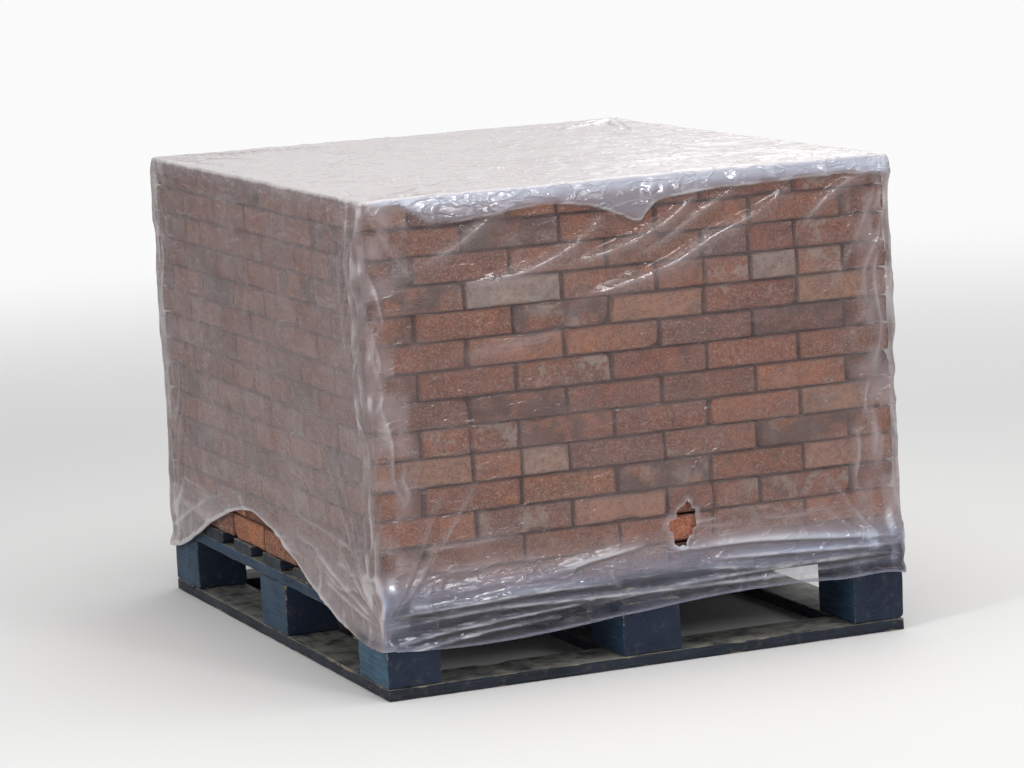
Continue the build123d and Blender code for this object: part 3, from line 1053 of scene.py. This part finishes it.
def shrink_hood(material):
    """The whole film in one mesh: four walls with a beaded hem, turned over into the top."""
    number, run, turn, index = hood_columns()
    count = len(number)
    places, normals = column_places(number, run, turn)
    hem = hem_heights(places, normals)
    height = hem + (film_top - FILM_CORNER - hem) * crowded(WALL_ROWS)[:, None]
    rows = WALL_ROWS + 1
    out, milk, cool = np.zeros((3, rows, count))
    run = np.broadcast_to(run, (rows, count)).copy()
    torn = np.zeros((rows, count), bool)
    distance = np.ones((Folds.LAYERS, rows, count))
    strength = np.zeros((Folds.LAYERS, rows, count))
    for which, wall in enumerate(WALLS):
        own = np.flatnonzero((number == which) & (turn == 0))
        if wall.name in TEARS:
            run[:, own], height[:, own], torn[:, own] = cut_tear(wall, run[:, own], height[:, own])
        shape = (rows, len(own))
        *made, folds = film_on_wall(wall, run[:, own].ravel(), height[:, own].ravel(), shape)
        out[:, own], milk[:, own], cool[:, own] = (values.reshape(shape) for values in made)
        distance[:, :, own] = folds.distance.reshape(Folds.LAYERS, *shape)
        strength[:, :, own] = folds.strength.reshape(Folds.LAYERS, *shape)
    for column in np.flatnonzero(turn > 0):
        share = ease_between(0, 1, turn[column])
        before = column - round(turn[column] * ARC_STEPS)
        after = (before + ARC_STEPS) % count
        for values in (out, milk, cool):
            values[:, column] = (1 - share) * values[:, before] + share * values[:, after]
        at_edge = np.column_stack([np.zeros(rows), height[:, column], np.full(rows, number[column])])
        milk[:, column] += 0.22 * np.clip(0.2 + 1.2 * smooth_noise(at_edge / (26 * MM), 83), 0, 1)

    bead = BEAD * (1 + 0.35 * smooth_noise(np.column_stack([places / (60 * MM), np.zeros(count)]), 91))
    out = out + ease_between(26 * MM, 2 * MM, height - hem) * (2 * bead + 0.5 * MM)
    milk = milk + 0.3 * ease_between(9 * MM, 1 * MM, height - hem)

    def spot(at_height, at_out):
        """A ring of points at a height, so far out from the wall, pulled out over the deck below."""
        flare = ease_between(DECK_TOP + FLARE_START, DECK_TOP + FLARE_END, at_height)[:, None]
        flat = places + normals * at_out[:, None]
        return np.column_stack([flat * (1 + flare * flare_share), at_height])

    rings = []
    for step in range(BEAD_STEPS, 0, -1):
        angle = step / BEAD_STEPS * BEAD_TURN
        ring = spot(hem - bead * math.sin(angle), out[0] - bead + bead * math.cos(angle))
        rings.append((ring, milk[0] + 0.1, cool[0], distance[:, 0], strength[:, 0] * 0))
    for row in range(rows):
        rings.append((spot(height[row], out[row]), milk[row], cool[row], distance[:, row], strength[:, row]))

    lids, edge = hood_lid(number, index)
    lid_out, lid_milk, lid_folds = film_on_top(lids)
    for step in range(1, ARC_STEPS):
        angle = step / ARC_STEPS * math.pi / 2
        flat = places - normals * FILM_CORNER * (1 - math.cos(angle))
        flat = flat + normals * (out[-1] * math.cos(angle))[:, None]
        tall = film_top - FILM_CORNER + (FILM_CORNER + lid_out[edge]) * math.sin(angle)
        share = math.sin(angle) ** 2
        rings.append((np.column_stack([flat, tall]), (1 - share) * milk[-1] + share * lid_milk[edge] + 0.1,
                      (1 - share) * cool[-1], distance[:, -1], strength[:, -1] * 0))
    lid = np.column_stack([lids, film_top + lid_out])
    rings.append((lid, lid_milk, np.zeros(len(lids)), lid_folds.distance, lid_folds.strength))

    points, all_milk, all_painted_blue_reflection, distances, strengths = zip(*rings)
    faces = hood_faces(len(rings) - 1, torn, edge)
    piece = new_piece("film_hood", np.vstack(points), faces, material)
    add_layer(piece, "haze", np.concatenate(all_milk))
    add_layer(piece, "cool", np.concatenate(all_painted_blue_reflection))
    for layer in range(Folds.LAYERS):
        add_layer(piece, f"crest_at_{layer}", np.concatenate([ring[layer] for ring in distances]))
        add_layer(piece, f"crest_by_{layer}", np.concatenate([ring[layer] for ring in strengths]))
    drop_loose_points(piece.data)
    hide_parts("shrink_hood")
    drop = film_top - hem.mean()
    wide, long = 2 * film_half
    wide + 2 * drop
    long + 2 * drop
    wide * long + 2 * (wide + long) * drop


def film_material():
    """Thin shrink film: milky where it is thick, folded or scuffed, nearly clear where it is drawn tight.
    Fold crests carry a painted highlight with a painted shadow beside them, and some parts a painted bluish
    reflection.
    """
    n = new_nodes("shrink_film")
    at = n.stretch(n.object_at(), (0.45, 0.45, 1.0))
    haze = n.layer("haze")
    crest_milk_and_highlight, painted_fold_shadow = None, None
    for layer in range(Folds.LAYERS):
        away = n.layer(f"crest_at_{layer}")
        by = n.layer(f"crest_by_{layer}")
        # A line along each fold's crest: milkier film, and a painted highlight for the light it catches.
        line = n.between(abs(away), 4.2 * MM, 0.3 * MM) * by
        # A dark line 6 mm to one side of each crest: painted shadow under the fold.
        painted_shadow_line = n.between(abs(away + 6 * MM), 5 * MM, 0.5 * MM) * by
        crest_milk_and_highlight = line if crest_milk_and_highlight is None else n.math("MAXIMUM", crest_milk_and_highlight, line)
        painted_fold_shadow = painted_shadow_line if painted_fold_shadow is None else n.math("MAXIMUM", painted_fold_shadow, painted_shadow_line)
    cloud = n.noise(at, 9, 2, 0.6)
    mottle = n.noise(at, 46, 2, 0.6)
    crest_milk_and_highlight = crest_milk_and_highlight * n.between(mottle, 0.36, 0.6, 0.3, 1.0)
    bent = n.use("ShaderNodeVectorMath", 0, operation="MULTIPLY_ADD", In_0=mottle, In_1=(0.035, -0.035, 0.03),
                 In_2=at)
    wrinkle = abs(n.noise(bent, 40, 1, 0.5) - 0.5)
    vein = n.between(wrinkle, 0.05, 0.0) * n.between(haze, 0.15, 0.55)
    uneven = (cloud - 0.5) * 0.4 + (mottle - 0.5) * 0.34
    alpha = haze + uneven * (1.15 - haze)
    alpha = alpha + crest_milk_and_highlight * 0.28
    alpha = alpha + painted_fold_shadow * 0.1
    alpha = alpha + vein * 0.05
    alpha = n.math("MINIMUM", n.math("MAXIMUM", alpha, 0.05), 0.96)
    # Milkier film is paler, as milky film is; the paler folds and near-white top are also painted light:
    # highlights on the folds and light from above on the top.
    thin = n.mix(n.between(haze, 0.30, 0.52), (0.255, 0.190, 0.188), (0.365, 0.285, 0.288))
    colour = n.mix(n.between(haze, 0.72, 1.02), thin, (0.57, 0.515, 0.52))
    # Painted bluish reflection where the layer sets it.
    colour = n.mix(n.layer("cool"), colour, n.tinted(colour, (0.78, 1.02, 1.32)))
    # Painted shadow beside the folds.
    colour = n.mix(painted_fold_shadow * 0.75, colour, (0.10, 0.08, 0.08))
    # Pale crests: painted highlight.
    colour = n.mix(crest_milk_and_highlight * 0.7, colour, (0.66, 0.64, 0.65))
    n.surface(Base_Color=colour, Roughness=n.between(mottle, 0.3, 0.7, 0.13, 0.26), Specular_IOR_Level=0.8,
              Alpha=alpha)
    n.bump(mottle * 0.8 + n.between(wrinkle, 0.07, 0.0) * 0.6, 2.0 * MM, 0.8)
    return n.owner


shrink_hood(film_material())


# Floor, light and camera

AIM = Vector((0.0, 0.0, 0.432))
CAMERA_AT = Vector((-2.746, -6.806, 1.519))
CAMERA_ROLL = math.radians(3.0)
LENS_MM = 138.0
FLOOR_REACH = 60.0
# How bright the white behind everything is
WHITE = 0.96
# Each lamp's name, place, size and power
LAMPS = (
    ("overhead", (0.4, -0.6, 4.2), 4.5, 158.0),
    ("front", (1.2, -5.4, 2.9), 0.8, 56.0),
    ("left", (-4.6, -2.6, 3.0), 0.7, 74.0),
    ("behind", (3.4, 4.6, 3.2), 2.3, 28.0),
)


def build_stage():
    """A pale floor that fades into the white background."""
    mesh = bpy.data.meshes.new("floor")
    corners = [(x * FLOOR_REACH, y * FLOOR_REACH, 0) for x, y in ((-1, -1), (1, -1), (1, 1), (-1, 1))]
    mesh.from_pydata(corners, [], [(0, 1, 2, 3)])
    floor = bpy.data.objects.new("floor", mesh)
    bpy.context.scene.collection.objects.link(floor)
    n = new_nodes("pale_floor")
    n.surface(Base_Color=(0.80, 0.795, 0.785), Roughness=0.9, Specular_IOR_Level=0.1)
    white = n.use("ShaderNodeEmission", 0, Color=(1.0, 1.0, 1.0), Strength=WHITE)
    away = n.use("ShaderNodeVectorMath", "Value", operation="LENGTH", In_0=n.object_at())
    fade = n.between(away, 1.6, 6.5)
    n.fade_to(white, fade * n.use("ShaderNodeLightPath", "Is Camera Ray"), "Material Output")
    mesh.materials.append(n.owner)


def aimed(name, data, place, roll=0.0):
    """A lamp or camera at a place, turned to the middle of the load."""
    holder = bpy.data.objects.new(name, data)
    holder.location = place
    holder.rotation_mode = "QUATERNION"
    turned = (AIM - Vector(place)).to_track_quat("-Z", "Y")
    holder.rotation_quaternion = turned @ Quaternion((0, 0, -1), roll)
    bpy.context.scene.collection.objects.link(holder)
    return holder


def build_light():
    """Even studio light: a pale room, a wide lamp overhead, and others in front, on the left and behind."""
    world = bpy.data.worlds.new("studio")
    bpy.context.scene.world = world
    n = Nodes(world, "Background")
    n.surface(Color=(0.96, 0.98, 1.0), Strength=0.31)
    white = n.use("ShaderNodeBackground", 0, Strength=WHITE)
    rays = n.put("ShaderNodeLightPath").outputs
    seen = n.math("MAXIMUM", rays["Is Camera Ray"], rays["Is Glossy Ray"])
    n.fade_to(white, n.math("MAXIMUM", seen, rays["Is Transmission Ray"]), "World Output")
    for name, place, size, power in LAMPS:
        lamp = bpy.data.lights.new(name, "AREA")
        lamp.size = size
        lamp.energy = power
        aimed(name, lamp, place)


def build_camera():
    camera = aimed("camera", bpy.data.cameras.new("camera"), CAMERA_AT, CAMERA_ROLL)
    camera.data.lens = LENS_MM
    camera.data.sensor_width = 36.0
    camera.data.clip_start = 0.1
    camera.data.clip_end = 200
    bpy.context.scene.camera = camera


build_stage()
build_light()
build_camera()
bpy.context.scene.view_settings.view_transform = "Standard"
